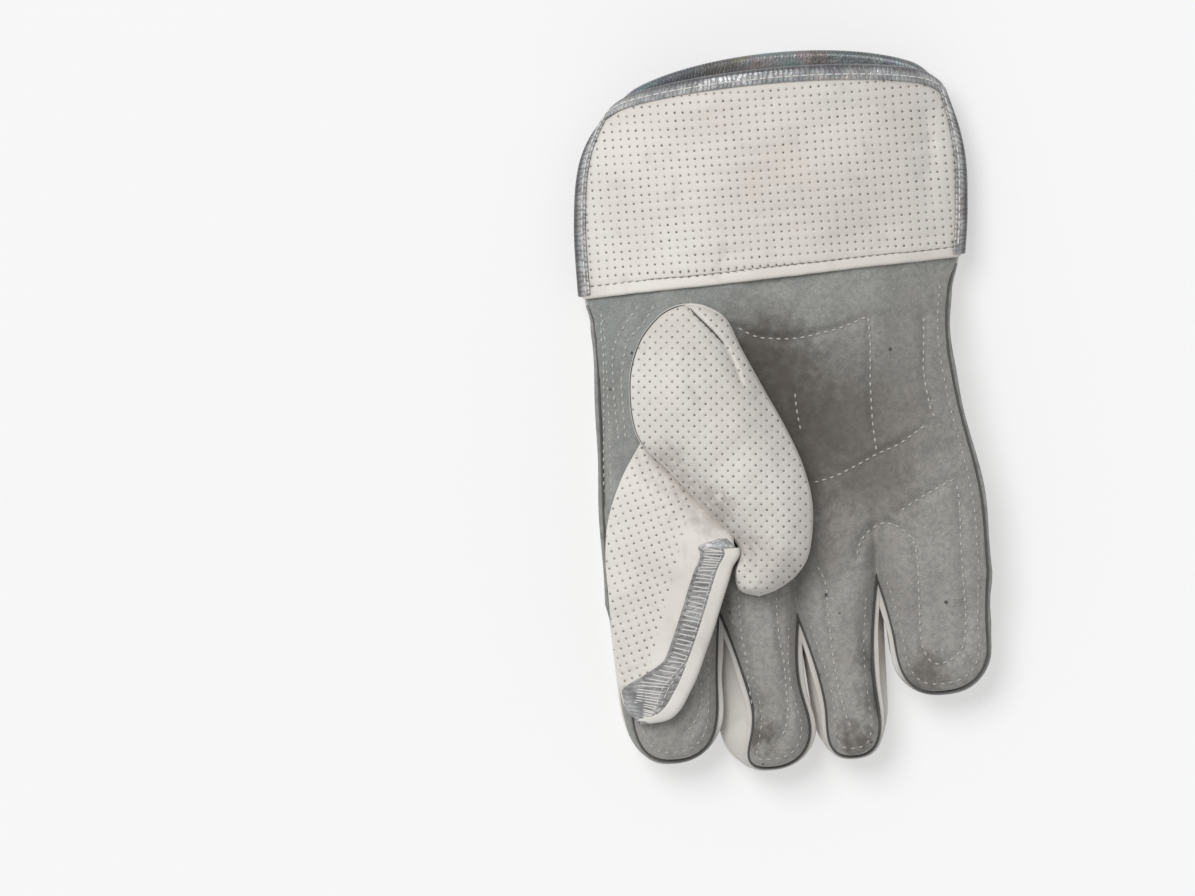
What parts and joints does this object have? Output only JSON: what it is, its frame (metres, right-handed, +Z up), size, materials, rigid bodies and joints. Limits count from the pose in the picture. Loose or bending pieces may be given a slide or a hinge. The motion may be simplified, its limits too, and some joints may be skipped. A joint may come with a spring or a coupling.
{
  "type": "wicketkeeping glove",
  "caption": "Padded right-hand wicketkeeping glove lying palm up, with perforated cuff, folded thumb, catching web and suede palm.",
  "frame": {"origin": "on the floor below the middle of the glove's bounding box", "axes": "+X from the thumb side to the little finger, +Y from the fingertips to the cuff's mouth, +Z up out of the palm"},
  "size_m": [0.1886, 0.3214, 0.0735],
  "materials": {
    "white_leather": "white leather, perforated, slightly worn",
    "grey_suede": "matt grey suede",
    "silver_film": "silver iridescent film on leather, with white ladder stitches",
    "badge_rubber": "satin black moulded rubber"
  },
  "bodies": {
    "root": {"back_panel": "white_leather", "palm_panel": "grey_suede", "cuff_front_panel": "white_leather", "cuff_front_binding": "silver_film", "cuff_back_binding": "silver_film", "cuff_side_binding_index": "silver_film", "cuff_side_binding_little": "silver_film", "index_side_wall": "white_leather", "middle_side_wall": "white_leather", "ring_side_wall": "white_leather", "little_side_wall": "white_leather", "thumb_back": "white_leather", "thumb_inner": "grey_suede", "thumb_side_wall": "white_leather", "web": "white_leather", "web_band": "silver_film", "web_binding": "white_leather", "back_stripe": "silver_film", "badge_patch": "silver_film", "badge_rim": "badge_rubber", "badge_plate": "silver_film", "index_tip_band": "silver_film", "middle_tip_band": "silver_film", "ring_tip_band": "silver_film", "little_tip_band": "silver_film"}
  },
  "joints": []
}
